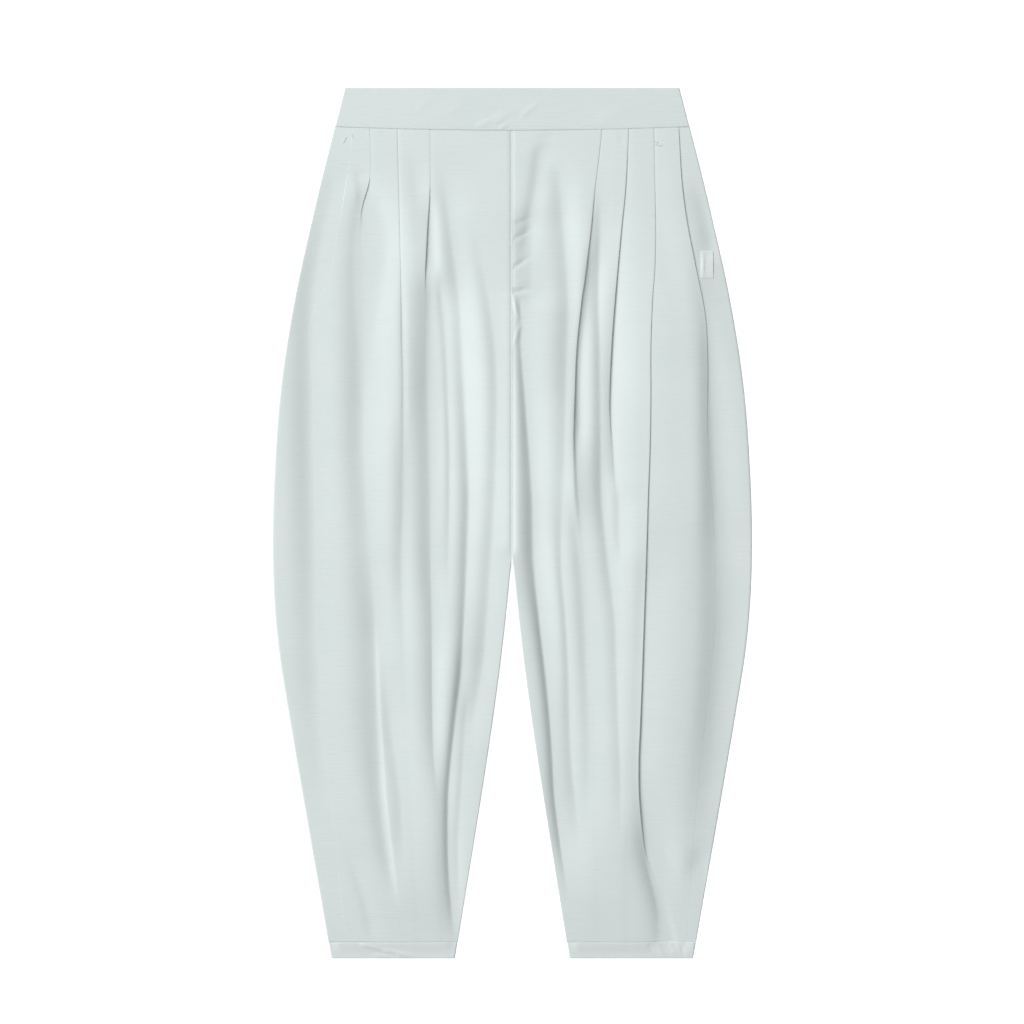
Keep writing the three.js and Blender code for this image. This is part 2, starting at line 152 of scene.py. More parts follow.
# Soft folds. "line" is where a trough is lowest or a ridge highest, "left" and "right" are the widths of its
# two walls as seen from above, and a "crisp" below 2 sharpens the left wall. It fades in and out between the
# four places of "fade".
softFolds = {
    "left": [
        dict(line=[(68, 186), (112, 195), (156, 204), (195, 212), (233, 217), (288, 219), (398, 218.5),
                   (519, 216), (640, 214), (761, 206)],
             depth=[(68, -0.5), (156, -2.0), (233, -3.2), (398, -3.6), (560, -2.6), (800, -0.8)], left=19,
             right=50, fade=(60, 110, 700, 850)),  # along the side seam
        dict(line=[(98, 159), (120, 157), (156, 156), (233, 159), (321, 161), (398, 162), (470, 157.5),
                   (530, 153.5), (585, 149)],
             depth=[(98, -0.8), (130, -2.6), (180, -4.6), (321, -5.0), (398, -4.2), (500, -3.4), (585, -2.4)],
             left=[(98, 8), (156, 19), (233, 22), (398, 19), (585, 22)],
             right=[(98, 12), (156, 34), (233, 42), (585, 34)],
             fade=(96, 130, 520, 640)),  # below the mouth of the side pleat
        dict(line=[(96, 168), (123, 164)], depth=-0.5, left=5, right=14, fade=(88, 98, 120, 140)),
        dict(line=[(47, 124.5), (123, 125.5), (200, 122), (310, 120), (400, 119.5)], depth=-0.6, left=2.6,
             right=5, crisp=1.3, fade=(180, 260, 330, 420)),
        dict(line=[(340, 119), (453, 119.5), (519, 121.5), (585, 120), (680, 117)],
             depth=[(340, -1.8), (519, -1.7), (585, -1.0), (680, -0.5)], left=9, right=14, crisp=1.6,
             fade=(320, 430, 570, 720)),
        dict(line=[(68, 108), (134, 101), (195, 97)], depth=-0.7, left=10, right=14,
             fade=(60, 110, 170, 240)),
        dict(line=[(222, 79), (285, 73.5), (343, 71), (398, 69), (464, 69), (520, 69.5), (580, 69)],
             depth=-1.3, left=[(222, 3.5), (440, 4), (520, 7), (580, 9)],
             right=[(222, 16), (440, 20), (580, 20)], crisp=1.3, fade=(200, 250, 490, 590)),
        dict(line=[(76, 78), (127, 71), (156, 67.6), (233, 57.8), (288, 54.5), (343, 51.7), (398, 49),
                   (453, 47.3), (519, 49.8), (585, 53.2), (640, 56.6), (695, 63), (739, 67.6), (783, 70.8),
                   (860, 70.2), (915, 65), (939, 60.5)],
             depth=[(76, -0.7), (233, -2.3), (321, -3.3), (398, -4.0), (519, -4.6), (585, -4.0), (673, -3.3),
                    (783, -2.7), (860, -2.3), (939, -1.8)],
             left=[(76, 9), (560, 9), (640, 7), (717, 6.5), (800, 7), (860, 8)],
             right=[(76, 20), (300, 22), (450, 26), (640, 28), (717, 34), (783, 28), (860, 18), (939, 18)],
             crisp=[(76, 1.7), (453, 1.6), (585, 1.2), (783, 1.2), (939, 1.4)],
             fade=(70, 130, 900, 950)),  # from the centre pleat to the hem
        dict(line=[(190, 91), (233, 89), (300, 89), (362, 89), (450, 88.8), (530, 89), (585, 88), (640, 88),
                   (717, 87), (750, 85), (783, 80.5), (860, 72)],
             depth=[(190, -2), (233, -4.8), (321, -6.6), (450, -6.5), (530, -5.4), (585, -4.2), (640, -3.2),
                    (717, -2.7), (783, -1.5), (860, -0.5)],
             left=[(190, 12), (233, 17), (321, 20), (450, 20), (530, 17), (585, 15), (640, 11), (860, 9)],
             right=[(190, 30), (450, 36), (585, 26), (640, 16), (860, 14)],
             crisp=[(190, 1.6), (480, 1.6), (585, 1.2), (783, 1.2)],
             fade=(165, 240, 700, 830)),  # below the mouth of the middle pleat
        dict(line=[(640, 56), (695, 62), (739, 66.6), (783, 69.8), (860, 69.2), (915, 64)], depth=-0.65,
             left=4, right=9, fade=(600, 660, 860, 930)),  # the steeper wall beside it
        dict(line=[(120, 91), (156, 87.5), (200, 86)], depth=-0.9, left=8, right=7,
             fade=(112, 150, 185, 215)),
        dict(line=[(131, 44), (175, 36), (233, 25), (288, 18), (343, 16), (398, 17), (453, 18.5),
                   (519, 22.5), (585, 27), (640, 32), (695, 42)],
             depth=[(131, -1.8), (398, -2.0), (519, -2.6), (695, -2.6)],
             left=[(131, 9), (398, 9), (519, 11)], right=[(131, 34), (398, 34), (519, 26), (695, 26)],
             crisp=1.8, fade=(110, 280, 620, 740)),
        dict(line=[(600, 40), (695, 50), (760, 54), (830, 58), (900, 56)], depth=-1.0, left=6, right=32,
             fade=(640, 700, 850, 920)),
        dict(line=[(500, 157), (585, 150), (640, 149), (695, 148), (739, 146), (783, 144), (838, 138),
                   (860, 134), (915, 124)],
             depth=[(500, -3.8), (640, -3.8), (739, -3.5), (783, -2.6), (860, -1.4)],
             left=[(500, 19), (695, 18), (783, 13), (860, 9)], right=[(500, 36), (740, 36), (860, 24)],
             crisp=1.7, fade=(500, 600, 840, 900)),  # lower part of the side pleat
        dict(line=[(585, 147), (695, 142), (739, 139), (783, 136), (860, 127), (915, 119)], depth=0.7,
             left=4, right=16, fade=(560, 680, 840, 920)),
        dict(line=[(640, 138), (717, 130), (783, 121), (838, 119)], depth=-1.3, left=10, right=42,
             fade=(620, 700, 800, 880)),
        dict(line=[(845, 178), (893, 162), (932, 153)], depth=-0.4, left=6, right=10,
             fade=(835, 870, 915, 945)),
    ],
    "right": [
        dict(line=[(57, 36), (68, 32), (112, 26), (156, 18), (200, 12)], depth=-1.2, left=8, right=13,
             fade=(50, 75, 150, 215)),
        dict(line=[(125, 21), (190, 22), (240, 20)], depth=-1.7, left=17, right=32, crisp=1.5,
             fade=(125, 155, 222, 250)),
        dict(line=[(220, 8), (233, 9), (288, 10), (343, 14.2), (398, 18.5), (453, 22), (519, 23.2),
                   (585, 29.2), (640, 35.4), (695, 40.8), (739, 43.8), (783, 46.6), (860, 57), (900, 64)],
             depth=[(220, -1.0), (288, -2.2), (343, -2.8), (453, -4.0), (540, -5.0), (640, -3.8),
                    (783, -3.2), (900, -1.6)],
             left=[(220, 5), (343, 6), (453, 9), (540, 9.5), (585, 7), (640, 5.6), (783, 5.6)],
             right=[(220, 24), (500, 24), (620, 30), (900, 30)],
             crisp=[(220, 1.5), (480, 1.5), (585, 1.2), (900, 1.3)],
             fade=(215, 250, 820, 905)),  # from the crotch down the inside leg
        dict(line=[(60, 46), (112, 53), (156, 56.6), (233, 62), (288, 60.5), (343, 59.4), (398, 57.8),
                   (453, 55.6), (519, 54), (585, 59), (640, 62), (695, 63.5), (739, 65.5), (783, 70),
                   (850, 77)],
             depth=[(60, -0.7), (156, -2.4), (300, -3.1), (453, -2.6), (519, -1.7), (640, -1.8), (717, -2.0),
                    (783, -2.2), (850, -1.4)], left=[(60, 12), (440, 12), (519, 6), (640, 6), (800, 10)],
             right=[(60, 18), (440, 18), (519, 22), (640, 36), (800, 42)], crisp=1.6,
             fade=(50, 110, 760, 860)),
        dict(line=[(156, 97), (233, 95.5), (288, 96.5), (343, 97), (398, 97.6), (453, 98.5), (519, 105),
                   (585, 113), (640, 115), (695, 117), (760, 119.5)],
             depth=[(120, -0.9), (156, -1.7), (220, -3.3), (288, -3.4), (343, -2.8), (453, -2.6),
                    (519, -2.1), (585, -1.8), (760, -1.6)], left=8,
             right=[(156, 26), (300, 26), (398, 18), (500, 18), (600, 28), (760, 30)], crisp=1.5,
             fade=(100, 150, 750, 840)),
        dict(line=[(190, 87), (233, 83.5), (288, 77.5), (343, 75), (398, 73.5)], depth=-1.8, left=6.5,
             right=12, fade=(160, 220, 360, 425)),  # shaded cloth under the inner pleat
        dict(line=[(330, 63.5), (398, 62.5), (450, 64.5), (490, 68)],
             depth=[(330, 0.9), (398, 1.7), (450, 1.8), (490, 1.0)], left=24, right=11,
             fade=(300, 370, 440, 500)),  # rounded back of the inner pleat
        dict(line=[(440, 68), (497, 74), (560, 79), (640, 83), (717, 86), (800, 86)],
             depth=[(440, -1.9), (600, -1.9), (717, -1.2), (800, -0.8)], left=9, right=26,
             fade=(440, 500, 720, 860)),
        dict(line=[(150, 122), (233, 115), (288, 111), (343, 109), (398, 111), (440, 114)],
             depth=[(150, -0.5), (288, -1.4), (398, -1.8), (440, -1.6)], left=5.5, right=38, crisp=1.4,
             fade=(150, 240, 410, 470)),  # towards the edge of the middle pleat
        dict(line=[(480, 118), (520, 121)], depth=-1.2, left=6, right=20, fade=(430, 465, 490, 530)),
        dict(line=[(190, 201), (262, 214), (343, 219), (398, 222), (453, 225), (519, 229), (585, 232.6),
                   (640, 230), (695, 225), (739, 222), (783, 217), (900, 205)],
             depth=[(230, -0.6), (343, -1.9), (453, -2.7), (585, -3.1), (760, -2.5), (900, -1.8)],
             left=[(230, 6), (343, 10), (453, 14), (540, 24), (760, 24)],
             right=[(230, 8), (343, 20), (453, 26), (540, 34), (760, 34)],
             fade=(200, 300, 760, 930)),  # beside the side seam
        dict(line=[(500, 150), (585, 145), (695, 141), (800, 140)], depth=-1.0, left=12, right=28,
             fade=(480, 560, 760, 830)),
        dict(line=[(230, 190), (450, 200), (620, 200), (760, 190)], depth=2.0, left=58, right=22,
             fade=(120, 240, 650, 800)),  # full cloth before the side seam
        dict(line=[(745, 146), (800, 146), (830, 149), (860, 157), (900, 170), (939, 181)], depth=-5.6,
             left=[(830, 14), (900, 14), (939, 17)], right=34, crisp=1.7,
             fade=(745, 870, 938, 975)),  # runs into the hem
        dict(line=[(110, 206), (150, 217), (175, 221)], depth=-1.9, left=13, right=26,
             fade=(92, 140, 168, 196)),
        dict(line=[(850, 207), (893, 204), (939, 197)], depth=-3.4, left=14, right=16,
             fade=(820, 880, 945, 965)),
    ],
}

# Knife pleats from the centre line outwards. "edge" is the folded edge, which faces the side seam (1) or
# the centre line (-1), and "overlap" turns negative where the pleat has opened. "lift" is the upper ply's
# height over the lower one; before the edge the cloth sinks by "hollow" over "reach", or by "flush" of the
# lift stays level with it, and behind the edge it comes down over "back".
pleats = {
    "left": [
        dict(edge=[(47, 90), (107, 90), (156, 93), (206, 95.5), (260, 98), (450, 96), (640, 94), (939, 82)],
             faces=-1, overlap=[(47, 9), (150, 7), (200, 1), (235, -4), (939, -8)],
             lift=[(47, 0.12), (105, 0.12), (122, 0.3), (156, 0.48), (185, 0.48), (212, 0.3), (232, 0.08),
                   (939, 0.08)], hollow=[(47, 0), (105, 0.1), (140, 0.5), (190, 0.6), (225, 0), (939, 0)],
             reach=[(47, 5), (140, 9), (240, 12), (939, 12)], flush=[(47, 1), (98, 0.9), (116, 0), (939, 0)],
             back=20),
        dict(edge=[(47, 126), (280, 121.5), (515, 125), (720, 120.5), (939, 108)], faces=-1,
             overlap=[(47, 10), (250, 4), (330, -5), (939, -8)],
             lift=[(47, 0.2), (200, 0.22), (330, 0.12), (939, 0.08)], hollow=0, reach=6,
             flush=[(47, 1), (180, 1), (270, 0), (939, 0)], back=30),
        dict(edge=[(47, 156), (98, 156), (129, 164), (160, 169), (240, 170), (450, 168), (700, 152),
                   (939, 124)], faces=-1,
             overlap=[(47, 10), (98, 8), (128, 3), (150, -4), (480, -8), (939, -8)],
             lift=[(47, 0.12), (94, 0.12), (102, 0.35), (118, 0.5), (134, 0.35), (160, 0.08), (939, 0.06)],
             hollow=[(47, 0), (98, 0), (115, 0.25), (140, 0.2), (170, 0), (939, 0)],
             reach=[(47, 5), (939, 8)], flush=[(47, 1), (94, 1), (106, 0), (939, 0)], back=40),
    ],
    "right": [
        dict(edge=[(46, 98.5), (68, 96.2), (112, 91), (156, 86.6), (211, 79.8), (233, 76.5), (288, 70.8),
                   (343, 68.6), (398, 66.6), (450, 68), (520, 74), (720, 84), (939, 88)], faces=1,
             overlap=[(47, 12), (250, 8), (340, 2), (420, -5), (939, -9)],
             lift=[(47, 0.26), (101, 0.28), (130, 0.5), (156, 0.8), (233, 1.1), (300, 1.2), (380, 1.2),
                   (450, 0.8), (520, 0.2), (939, 0.1)], hollow=0, reach=9,
             flush=[(47, 0.6), (120, 0), (939, 0)], back=26),
        dict(edge=[(46, 128), (68, 127), (112, 124.5), (156, 120), (233, 113), (288, 109), (343, 107),
                   (398, 108), (453, 113), (520, 121), (939, 120)], faces=1,
             overlap=[(47, 10), (300, 6), (350, 1), (400, -5), (939, -8)],
             lift=[(47, 0.3), (112, 0.42), (156, 0.55), (233, 0.8), (310, 0.75), (360, 0.4), (400, 0.15),
                   (540, 0.1), (939, 0.1)],
             hollow=[(47, 0), (112, 0.2), (190, 0.3), (300, 0.4), (400, 0.2), (470, 0), (939, 0)],
             reach=[(47, 4), (200, 8), (939, 8)], flush=[(47, 0.6), (150, 0), (939, 0)], back=14),
        dict(edge=[(46, 156), (156, 157.5), (200, 156.5), (233, 154), (288, 152), (343, 152), (398, 151),
                   (453, 149), (519, 147), (585, 144.7), (640, 142.8), (695, 140.8), (739, 139),
                   (783, 139.7), (838, 146), (880, 156), (939, 168)], faces=1,
             overlap=[(47, 12), (600, 9), (780, 5), (838, 0), (870, -5), (939, -8)],
             lift=[(47, 0.26), (110, 0.3), (160, 0.36), (300, 0.55), (398, 0.7), (560, 1.2), (720, 1.5),
                   (790, 1.4), (830, 0.6), (860, 0.15), (939, 0.1)], hollow=0, reach=5,
             flush=[(47, 0.7), (160, 0.3), (250, 0), (939, 0)], back=18),
    ],
}

# Short wrinkles: from (out, down) to (out, down), half the width across, and the height
puckers = {
    "left": [],
    "right": [
        ((4, 150), (21, 143), 1.9, -0.5),
        ((2, 167), (22, 156), 1.6, -0.7),
        ((2, 198), (22, 185), 1.9, -0.7),
        ((1, 225), (22, 221), 2.3, -0.8),
        ((1, 228), (9, 262), 2.2, 0.6),
        ((9, 262), (1, 286), 2.0, 0.5),
        ((46, 51), (27, 52.5), 1.7, -0.5),
        ((116, 53), (124, 57), 1.5, -0.3),
    ],
}


def wrinkleHeight(wrinkles, x, down):
    height = np.zeros(np.broadcast(x, down).shape)
    for (x0, d0), (x1, d1), width, rise in wrinkles:
        run = math.hypot(x1 - x0, d1 - d0)
        t = ((x - x0) * (x1 - x0) + (down - d0) * (d1 - d0)) / run ** 2
        across = ((x - x0) * (d1 - d0) - (down - d0) * (x1 - x0)) / run
        ends = ease(-0.1, 0.12, t) * ease(1.15, 0.35, t)
        height += rise * ends * np.exp(-(across / width) ** 2)
    return height


# how far the cloth stands above its pressed height, before a lower limit is put on it
def looseHeight(side, out, down):
    look, turn = frontLook, frontLook["edgeTurn"]
    toSide = np.maximum(0, outlineAt(down) - out)
    toInside = np.maximum(0, out - insideAt(down))
    steep = look["steepSide"][side]
    sideRise = (steep * (1 - np.exp(-toSide / turn["side"]))
                + (1 - steep) * (1 - np.exp(-toSide / look["sideRoll"])))
    steep = look["steepInside"][side]
    # above the crotch the two fronts are joined and don't fall to an edge
    joined, near = (60 * ease(cut["crotch"] + 14, cut["crotch"] - reach, down) for reach in (14, 120))
    insideRise = (steep * (1 - np.exp(-(toInside + joined) / turn["inside"]))
                  + (1 - steep) * (1 - np.exp(-(toInside + near) / look["insideRoll"])))
    height = along(look["fullness"], down) * sideRise * insideRise
    for fold in softFolds[side]:
        away = (out - along(fold["line"], down)) * sides[side]
        wall = np.where(away < 0, numberAt(fold["left"], down), numberAt(fold["right"], down))
        crisp = np.where(away < 0, numberAt(fold.get("crisp", 2), down), 2)
        depth = numberAt(fold["depth"], down)
        height = height + depth * fadeBetween(fold["fade"], down) * np.exp(-np.abs(away / wall) ** crisp)
    return height + wrinkleHeight(puckers[side], out, down)


# cloth never sinks into the back below it
def settled(height, out, down):
    least = frontLook["softBelow"]
    soft = np.where(height > least, height, least * np.exp(np.minimum(height, least) / least - 1))
    toSide = np.maximum(0, outlineAt(down) - out)
    return frontLook["lowest"] + soft * (1 - np.exp(-toSide / frontLook["edgeTurn"]["side"]))


def frontGround(side, out, down):
    return settled(looseHeight(side, out, down), out, down)


# brings the two fronts to one height where they are sewn together
def meeting(side, out, down):
    seamOut = insideAt(down)
    level = {name: frontGround(name, seamOut, down) for name in sides}
    rise = (level["left"] + level["right"]) / 2 - level[side]
    depth, place, width = frontLook["seamGroove"][side]
    groove = depth * np.exp(-((out - place) / width) ** 2)
    pulled = rise * np.exp(-(out / frontLook["seamPull"][side]) ** 2) - groove
    return pulled * ease(cut["crotch"] + 2, cut["crotch"] - 12, down)


def hollowAt(pleat, out, down):
    ahead = np.maximum(0, (out - along(pleat["edge"], down)) * pleat["faces"])
    return numberAt(pleat["hollow"], down) * np.exp(-(ahead / numberAt(pleat["reach"], down)) ** 2)


# the cloth of one pleat in a section: out and height, from the ply nearer the centre line
def pleatCurve(side, pleat, down):
    turn = frontLook["pressedTurn"]
    edge, overlap = along(pleat["edge"], down), along(pleat["overlap"], down)
    high = along(pleat["lift"], down)
    folded = np.clip(overlap / (2 * turn), 0, 1)
    back = np.maximum(overlap, 2 * turn * folded)
    spread = np.maximum(0, -overlap)
    beyond = 2.5  # where the curve's direction at its ends comes from
    stack = [(-turn - beyond, high, 0), (-turn, high, 0), (0 * high, high - turn, 0),
             (-turn, np.maximum(high / 2, high - 2 * turn), 0.1),
             (-back + turn, np.minimum(high / 2, 2 * turn), 0.85), (-back, np.minimum(high / 4, turn), 1),
             (-back + turn, 0 * high, 1), (-back + turn + beyond, 0 * high, 1)]
    spots = []
    for k, (x, z, sunk) in enumerate(stack):
        share = np.clip((k - 1) / 5, 0, 1)
        slopeX = spread * (k - 1) / 5
        slopeZ = high * (1 - share * share * (3 - 2 * share))
        slopeSunk = share * share * (3 - 2 * share)
        spots.append((slopeX + (x - slopeX) * folded, slopeZ + (z - slopeZ) * folded,
                      slopeSunk + (sunk - slopeSunk) * folded))
    spots = np.array([np.broadcast_arrays(*spot) for spot in spots])
    curve = []
    steps = 3
    for k in range(1, 6):
        for step in range(steps + (k == 5)):
            t = step / steps
            a, b, c, d = spots[k - 1:k + 3]
            curve.append(0.5 * (2 * b + (c - a) * t + (2 * a - 5 * b + 4 * c - d) * t ** 2
                                + (3 * b - a - 3 * c + d) * t ** 3))
    curve = np.array(curve)  # points, (x, z, sunk), rows
    out = edge[None] + pleat["faces"] * curve[:, 0]
    downs = np.broadcast_to(down, out.shape)
    raised, sunkBeside = aroundPleats(side, out, downs, pleats[side].index(pleat), pleat)
    loose = looseHeight(side, out, downs) - curve[:, 2] * hollowAt(pleat, out, downs) - sunkBeside
    z = settled(loose, out, downs) + curve[:, 1] + raised
    return (out.T, z.T) if pleat["faces"] > 0 else (out.T[:, ::-1], z.T[:, ::-1])


# what the pleats do to the cloth beside them: behind an edge it is lifted, before the edge it sinks.
# zone counts the stretches between the pleats from the centre line outwards.
def aroundPleats(side, out, down, zone, own=None):
    raised, sunk = np.zeros_like(out), np.zeros_like(out)
    for k, pleat in enumerate(pleats[side]):
        if pleat is own:
            continue
        ahead = (out - along(pleat["edge"], down)) * pleat["faces"]
        high = along(pleat["lift"], down)
        if (zone <= k) == (pleat["faces"] > 0):
            behind = np.maximum(0, -ahead - np.maximum(0, along(pleat["overlap"], down)))
            raised = raised + high * np.exp(-(behind / pleat["back"]) ** 2)
        else:
            past = np.maximum(0, ahead)
            flush = along(pleat["flush"], down) * high
            fadeIn = 1 - np.exp(-past / frontLook["flushStart"])
            raised = raised + flush * fadeIn * np.exp(-(past / frontLook["flushReach"]) ** 2)
            sunk = sunk + hollowAt(pleat, out, down)
    return raised, sunk


# how far the front stands off the back's strip along its outer edge
def lapHeight(side, down):
    mouth = np.clip((down - cut["waistbandDepth"]) / (cut["pocketEnd"] - cut["waistbandDepth"]), 0, 1)
    return frontLook["lapStep"][side] + frontLook["mouthGape"][side] * np.sin(math.pi * mouth)


# the first and last rows lie close together, so a cut edge doesn't tint the shading beside it
def rowPlaces(first, last):
    places = [first, first + 0.12]
    while places[-1] < last:
        step = [s for start, s in frontLook["rowSteps"] if start <= places[-1] + 0.5][-1]
        places.append(places[-1] + step)
    places[-1:] = [last - 0.12, last]
    return np.array(places)


legTop = cut["waistbandDepth"] + cut["seamGap"]
legEnd = length - cut["hemDepth"] - cut["seamGap"]
legRows = rowPlaces(legTop, legEnd)


# where the columns of one stretch lie, as shares of its width
def columnPlaces(count, isFirst, isLast):
    if isFirst:
        return np.append(frontLook["seamPlaces"], np.linspace(0.04, 1, count - 2)[:-1])
    if isLast:
        return np.append(np.linspace(1 / count, 1, count)[:-1], [frontLook["edgePlace"], 1])
    return np.arange(1, count) / count


# sections across the front, one for each place in downs: stretches of cloth with the pleats between them
def frontSection(side, downs):
    folds = [pleatCurve(side, pleat, downs) for pleat in pleats[side]]
    edge = along(frontEdge[side], downs)
    outs, heights = [], []
    for i, count in enumerate(frontLook["columns"]):
        isFirst, isLast = i == 0, i == len(folds)
        start = insideAt(downs) if isFirst else folds[i - 1][0][:, -1]
        end = edge if isLast else folds[i][0][:, 0]
        out = start[:, None] + (end - start)[:, None] * columnPlaces(count, isFirst, isLast)[None]
        down = np.broadcast_to(downs[:, None], out.shape)
        raised, sunk = aroundPleats(side, out, down, i)
        if isLast:
            nearEdge = ease(cut["seamLap"] + frontLook["lapRise"], cut["seamLap"] - 2, edge[:, None] - out)
            raised = raised + lapHeight(side, down) * nearEdge * ease(0, 8, out - start[:, None])
        if isFirst:
            raised = raised + meeting(side, out, down)
        heights.append(settled(looseHeight(side, out, down) - sunk, out, down) + raised)
        outs.append(out)
        if not isLast:
            outs.append(folds[i][0])
            heights.append(folds[i][1])
    return np.hstack(outs), np.hstack(heights)


# The back's strip beside the front, out to the outline. It lies lower where it runs under the front's edge,
# and below the mouth it comes up to that edge.
def stripHeight(side, out, down):
    past = out - along(frontEdge[side], down)
    flush = ease(*frontLook["seamEdge"][side], down) * frontLook["lapStep"][side]
    under = frontLook["underEdge"] * ease(-0.4, -2, past)
    flush = flush * ease(-2, -0.4, past) * np.exp(-(np.maximum(0, past) / frontLook["stripRoll"]) ** 2)
    return frontGround(side, out, down) + flush - under


# how far the waist seam hangs below a straight line
def seamDip(out):
    return cut["waistSeamDip"] * (1 - (out / outlineAt(cut["waistbandDepth"])) ** 2)


def sag(out, down):
    return seamDip(out) * ease(legTop + cut["dipFades"], legTop, down)


def bandSag(x, down):
    return seamDip(x) * np.clip(down / cut["waistbandDepth"], 0, 1) ** 1.5


# where each piece lies along the uncut cloth, so that no two show the same threads
clothPlaces = {"left": 600, "right": 0, "rings": 1300}


# a smooth piece from points in millimetres; flat gives each point its place on the uncut cloth
def newPiece(name, points, faces, flat=None):
    mesh = bpy.data.meshes.new(name)
    mesh.from_pydata((np.asarray(points) * mm).tolist(), [], faces)
    if flat is not None:
        layer = mesh.uv_layers.new(name="weave")
        corners = np.array([loop.vertex_index for loop in mesh.loops])
        layer.data.foreach_set("uv", (flat * mm)[corners].ravel())
    mesh.polygons.foreach_set("use_smooth", [True] * len(mesh.polygons))
    piece = bpy.data.objects.new(name, mesh)
    bpy.context.scene.collection.objects.link(piece)
    return piece


# a piece from a grid of points: rows run down, columns across
def gridMesh(name, side, out, z, down, flip=False):
    sign = sides[side]
    rows, columns = out.shape
    y = length / 2 - down - sag(np.abs(out), down)
    points = np.stack([sign * out, y, z], -1).reshape(-1, 3)
    i, j = np.meshgrid(np.arange(rows - 1), np.arange(columns - 1), indexing="ij")
    a = i * columns + j
    faces = np.stack([a, a + columns, a + columns + 1, a + 1], -1).reshape(-1, 4)
    if (sign < 0) != flip:
        faces = faces[:, ::-1]
    step = np.hypot(np.diff(out, axis=1), np.diff(z, axis=1))
    across = np.concatenate([np.zeros((rows, 1)), np.cumsum(step, axis=1)], axis=1)
    flat = np.stack([across + clothPlaces[side], -down], -1).reshape(-1, 2)
    return newPiece(name, points, faces.tolist(), flat)


def thicken(piece, thickness):
    shell = piece.modifiers.new("cloth thickness", "SOLIDIFY")
    shell.thickness = thickness * mm
    shell.offset = 0
    normals = piece.modifiers.new("even shading", "WEIGHTED_NORMAL")
    normals.weight = 60


def makeFront(side):
    out, z = frontSection(side, legRows)
    down = np.broadcast_to(legRows[:, None], out.shape)
    piece = gridMesh(f"frontPanel.{side}", side, out, z, down)
    thicken(piece, cut["clothThickness"])
    return piece


backLook = {
    "flatColumns": 64,
    "wrapColumns": 44,
    "turnSteps": 9,
    "turnRadius": 0.8,
    "height": 0.4,
    "creaseLimit": 0.55,
    "creaseMargin": 22,  # the edges stay flat
    "creases": {  # mild creases that pressing left in the back, lifted off the floor
        "left": [((60, 70), (96, 700), 11, 1.0),
                 ((120, 60), (150, 560), 14, 0.8),
                 ((20, 330), (44, 860), 10, 0.9),
                 ((190, 300), (150, 880), 13, 0.9)],
        "right": [((52, 60), (84, 640), 12, 0.9),
                  ((135, 80), (128, 720), 13, 1.0),
                  ((18, 300), (58, 900), 11, 1.0),
                  ((196, 260), (160, 820), 12, 0.7)],
    },
}


def makeBack(side):
    downs = legRows[:, None]
    radius = backLook["turnRadius"]
    edge, inside = along(frontEdge[side], downs), insideAt(downs)
    turnStart = outlineAt(downs) - radius
    share = np.linspace(0, 1, backLook["flatColumns"])[None]
    flatOut = inside + (turnStart - inside) * share
    crease = wrinkleHeight(backLook["creases"][side], flatOut, np.broadcast_to(downs, flatOut.shape))
    margin = backLook["creaseMargin"]
    inner = ease(0, margin, flatOut - inside) * ease(0, margin, turnStart - flatOut)
    flatZ = backLook["height"] + np.minimum(crease, backLook["creaseLimit"]) * inner
    share = np.linspace(1, 0, backLook["wrapColumns"])[None]
    lapStart = edge - cut["seamLap"]
    wrapOut = lapStart + (turnStart - lapStart) * share
    wrapZ = stripHeight(side, wrapOut, np.broadcast_to(downs, wrapOut.shape))
    angle = np.linspace(0, math.pi, backLook["turnSteps"])[None, 1:-1]
    turnOut = turnStart + radius * np.sin(angle)
    turnZ = backLook["height"] + (wrapZ[:, :1] - backLook["height"]) * (1 - np.cos(angle)) / 2
    out = np.hstack([flatOut, turnOut, wrapOut])
    z = np.hstack([flatZ, turnZ, wrapZ])
    piece = gridMesh(f"backPanel.{side}", side, out, z, np.broadcast_to(downs, out.shape), flip=True)
    thicken(piece, cut["clothThickness"])
    return piece


# A flattened ring of doubled cloth, folded at its free edge: waistband or hem. place gives the ring's middle
# line at any height, and the cloth's section is a flat bar with round edges about that line.
def ringPiece(name, side, place, top, bottom, look):
    half = look["thickness"] / 2
    rounding = [math.pi * k / 6 for k in range(1, 6)]
    rows = np.linspace(top + half, bottom - half, look["rows"])
    profile = [(top + half * (1 - math.sin(angle)), half * math.cos(angle)) for angle in rounding]
    profile += [(row, -half) for row in rows]
    profile += [(bottom - half * (1 - math.sin(angle)), -half * math.cos(angle)) for angle in rounding]
    profile += [(row, half) for row in np.linspace(bottom - half, top + half, look["rows"])]
    down, offset = (np.array(column)[:, None] for column in zip(*profile))
    out, z, normalOut, normalZ = place(np.linspace(0, 1, look["ringPoints"], endpoint=False)[None], down)
    down = np.broadcast_to(down, out.shape)
    sign = sides.get(side, 1)
    x, z = out + normalOut * offset, z + normalZ * offset
    y = length / 2 - down - bandSag(x, down) if side is None else length / 2 - down
    points = np.stack([sign * x, y, z], -1).reshape(-1, 3)
    height, width = x.shape
    i, j = np.meshgrid(np.arange(height), np.arange(width), indexing="ij")
    row, nextRow, nextColumn = i * width, (i + 1) % height * width, (j + 1) % width
    faces = np.stack([row + j, row + nextColumn, nextRow + nextColumn, nextRow + j], -1).reshape(-1, 4)
    if sign < 0:
        faces = faces[:, ::-1]
    # the inner ply lies beside the outer one on the uncut cloth
    flat = np.stack([x + clothPlaces["rings"], -down - 40 * (offset > 0)], -1).reshape(-1, 2)
    return newPiece(name, points, faces.tolist(), flat)


